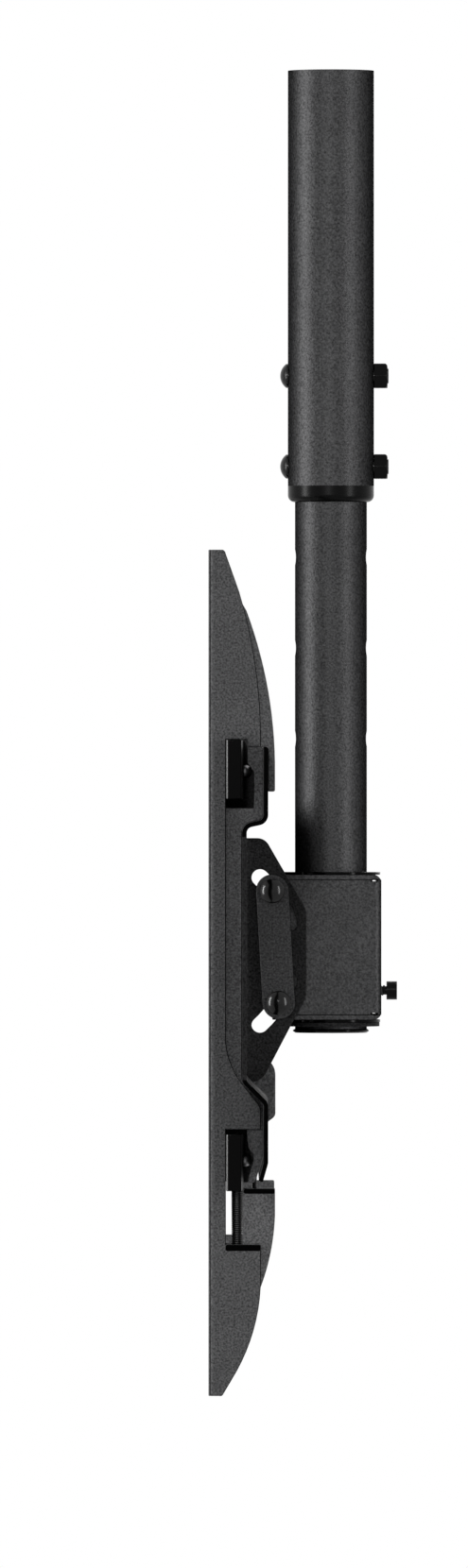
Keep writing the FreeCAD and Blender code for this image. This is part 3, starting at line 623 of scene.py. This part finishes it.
hookSheet = {
    "near": 116.0,  # mm across the plate, the face that lies on the outer wall
    "far": 114.0,
    # (x, z) for a straight edge, (x, z, x, z) for an arc through the first place
    "edge": [(-60.5, -262.0), (-56.0, -262.0), (-48.9, -277.5), (-46.9, -283.0), (-44.7, -286.8),
             (-34.4, -323.1, -29.8, -372.6), (-29.8, -380.4), (-30.1, -381.2, -30.8, -381.5), (-33.1, -381.5),
             (-33.1, -359.9), (-33.63, -358.63, -34.9, -358.1), (-36.2, -358.1), (-36.2, -393.5),
             (-36.83, -395.28, -38.45, -396.28), (-42.7, -397.2), (-46.0, -399.24, -47.3, -402.9),
             (-47.3, -530.2), (-46.86, -532.44, -45.6, -534.34), (-37.03, -542.88), (-36.42, -543.81, -36.2, -544.9),
             (-36.2, -572.0), (-37.8, -578.0, -39.4, -583.6), (-40.8, -586.1), (-43.9, -586.1), (-43.9, -584.6),
             (-40.9, -574.3), (-41.1, -571.4), (-43.7, -567.9), (-44.4, -561.6), (-44.6, -556.9), (-57.0, -556.9),
             (-57.0, -619.2), (-46.8, -619.2), (-46.8, -589.6), (-29.8, -589.6), (-29.8, -603.4),
             (-32.9, -626.5, -37.3, -641.0), (-42.0, -650.0), (-60.5, -650.0)],
    "window": [(-56.4, -351.5), (-44.2, -351.5), (-44.2, -366.5), (-40.7, -371.1), (-40.7, -390.2), (-56.4, -390.2)],
    "edgeBreak": 0.25,
    "breakAngle": 50,
}
ledgeEnd = {  # cut ends of the folded ledges that carry the lower screw: low x, high x, low z, high z, near, far
    "foot": (-55.7, -37.3, -621.9, -618.7, 118.15, 117.3),
    "finger": (-46.1, -29.9, -592.0, -589.5, 116.2, 113.8),
    "corner": 0.6,
    "edgeBreak": 0.1,
}
arcSetup = {"step": 12, "fineStep": 1.5, "fineFrom": 20}  # degrees a face, and mm of radius from which it is finer


def arcPlaces(first, middle, last):
    # places on the circle through three (x, z) places, without the first
    ax, az = first
    bx, bz = middle
    cx, cz = last
    d = 2 * (ax * (bz - cz) + bx * (cz - az) + cx * (az - bz))
    ux = ((ax * ax + az * az) * (bz - cz) + (bx * bx + bz * bz) * (cz - az) + (cx * cx + cz * cz) * (az - bz)) / d
    uz = ((ax * ax + az * az) * (cx - bx) + (bx * bx + bz * bz) * (ax - cx) + (cx * cx + cz * cz) * (bx - ax)) / d
    radius = math.hypot(ax - ux, az - uz)
    start = math.atan2(az - uz, ax - ux)
    sweep = (math.atan2(cz - uz, cx - ux) - start) % (2 * math.pi)
    if (math.atan2(bz - uz, bx - ux) - start) % (2 * math.pi) > sweep:
        sweep -= 2 * math.pi
    count = max(4, int(abs(sweep) / math.radians(arcSetup["step"])))
    if radius > arcSetup["fineFrom"]:
        count = max(count, int(abs(sweep) / math.radians(arcSetup["fineStep"])))
    return [(ux + radius * math.cos(start + sweep * k / count), uz + radius * math.sin(start + sweep * k / count))
            for k in range(1, count + 1)]


def outlinePlaces(moves):
    places = [moves[0]]
    for move in moves[1:]:
        if len(move) == 4:
            places += arcPlaces(places[-1], move[:2], move[2:])
        else:
            places.append(move)
    return places


def drawnPlate(name, loops, near, far, edgeBreak):
    piece = emptyDrawing(name)
    for places in loops:
        strokeLine([Vector((x, near, z)) * mm for x, z in places + places[:1]])
    bpy.ops.mesh.select_all(action="SELECT")
    bpy.ops.mesh.remove_doubles(threshold=meshSetup["drawnGap"] * mm)
    bpy.ops.mesh.fill(use_beauty=True)
    bpy.ops.mesh.dissolve_limited(angle_limit=math.radians(meshSetup["drawnFlat"]))
    bpy.ops.mesh.select_all(action="SELECT")
    bpy.ops.mesh.extrude_region_move(TRANSFORM_OT_translate={"value": (0, (far - near) * mm, 0)})
    bpy.ops.mesh.select_all(action="SELECT")
    bpy.ops.mesh.normals_make_consistent(inside=False)
    bpy.ops.object.mode_set(mode="OBJECT")
    breakEdges(piece, edgeBreak, hookSheet["breakAngle"])
    flattenFaces(piece)
    return piece


for side, sign in (("left", -1), ("right", 1)):
    sheet = drawnPlate("hookSheet_" + side, [outlinePlaces(hookSheet["edge"]), hookSheet["window"]],
                       sign * hookSheet["near"], sign * hookSheet["far"], hookSheet["edgeBreak"])
    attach(sheet, "arm_" + side)
    # painted light: the hook sheet's coat is lighter than the outer wall's
    paint(sheet, "paintedLightCoat")
    corner = ledgeEnd["corner"]
    for part in ("foot", "finger"):
        x0, x1, z0, z1, near, far = ledgeEnd[part]
        outline = [(x0, z0 + corner), (x0 + corner, z0), (x1 - corner, z0), (x1, z0 + corner), (x1, z1 - corner),
                   (x1 - corner, z1), (x0 + corner, z1), (x0, z1 - corner)]
        bar = drawnPlate(part + "LedgeEnd_" + side, [outline], sign * near, sign * far, ledgeEnd["edgeBreak"])
        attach(bar, "arm_" + side)
        # painted shade: the ledge ends are near black
        paint(bar, "paintedShade")
print("hook sheets drawn")
